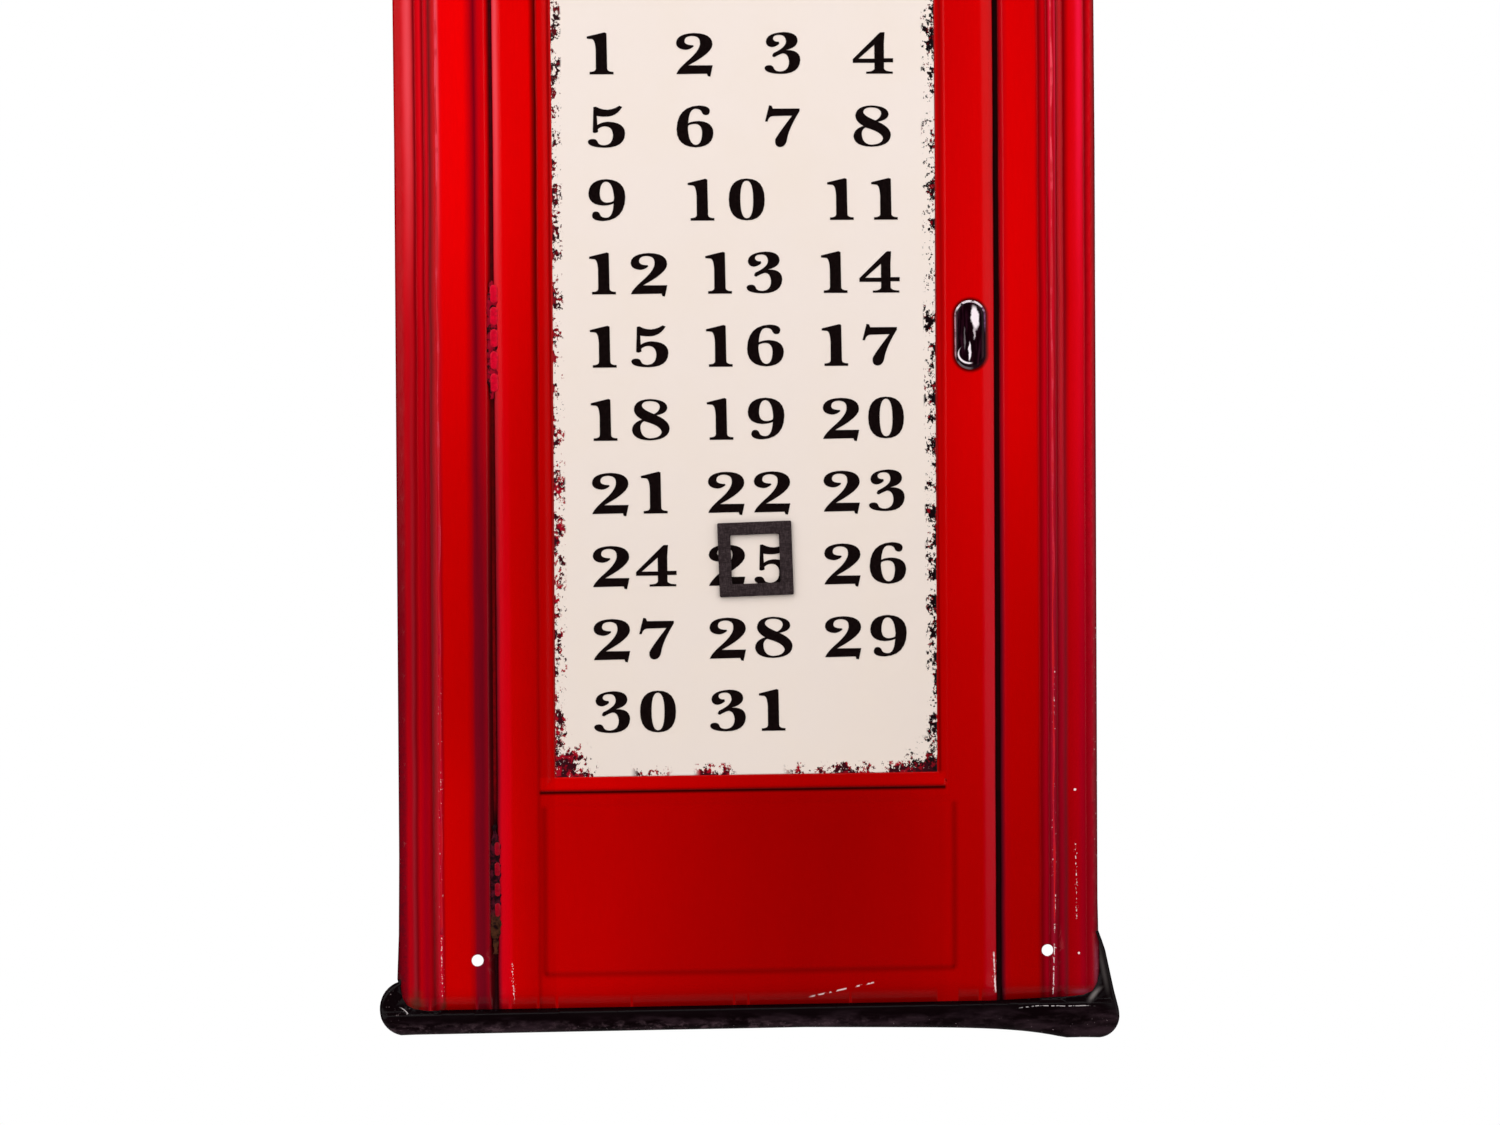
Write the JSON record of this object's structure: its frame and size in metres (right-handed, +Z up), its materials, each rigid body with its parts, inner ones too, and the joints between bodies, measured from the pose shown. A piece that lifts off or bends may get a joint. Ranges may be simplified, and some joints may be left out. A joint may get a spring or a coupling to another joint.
{
  "type": "perpetual wall calendar",
  "caption": "Pressed tin wall calendar in the outline of a telephone booth, with printed numerals and square magnetic frames that mark day, weekday and month.",
  "frame": {"origin": "middle of the plate's bottom edge, on the wall plane", "axes": "+Z up, +X to the right as the viewer faces the picture, +Y into the wall; the picture faces -Y"},
  "size_m": [0.2523, 0.0066, 0.6601],
  "materials": {
    "tinplate": "clear-lacquered tin plate, bare on the back",
    "red_lacquer": "gloss printed lacquer with printed scuffs",
    "black_lacquer": "gloss printed lacquer",
    "cream_lacquer": "satin printed lacquer with printed ageing",
    "line_ink": "printed highlight ink",
    "numeral_ink": "satin black ink",
    "handle_ink": "printed picture of a metal pull",
    "magnet_sheet": "matte filled rubber",
    "marker_film": "matte black film with a fibrous grain"
  },
  "bodies": {
    "plate": {"steel_plate": "tinplate", "red_print": "red_lacquer", "black_plinth_print": "black_lacquer", "cream_calendar_print": "cream_lacquer", "cream_sign_print": "cream_lacquer", "door_gap_print": "black_lacquer", "column_line_print": "line_ink", "hinge_print": "black_lacquer", "pull_handle_print": "handle_ink", "date_numerals": "numeral_ink", "month_numerals": "numeral_ink", "weekday_spots": "numeral_ink"},
    "date_marker": {"date_marker_magnet": "magnet_sheet", "date_marker_face": "marker_film"},
    "weekday_marker": {"weekday_marker_magnet": "magnet_sheet", "weekday_marker_face": "marker_film"},
    "month_marker": {"month_marker_magnet": "magnet_sheet", "month_marker_face": "marker_film"}
  },
  "joints": [
    {"name": "date_marker_slide", "type": "slide", "parent": "plate", "child": "date_marker", "axis": [0, 0, 1], "range_m": [-0.0605, 0.172]},
    {"name": "weekday_marker_slide", "type": "slide", "parent": "plate", "child": "weekday_marker", "axis": [1, 0, 0], "range_m": [-0.0374, 0.0675]},
    {"name": "month_marker_slide", "type": "slide", "parent": "plate", "child": "month_marker", "axis": [0, 0, 1], "range_m": [-0.0086, 0.0834]}
  ]
}
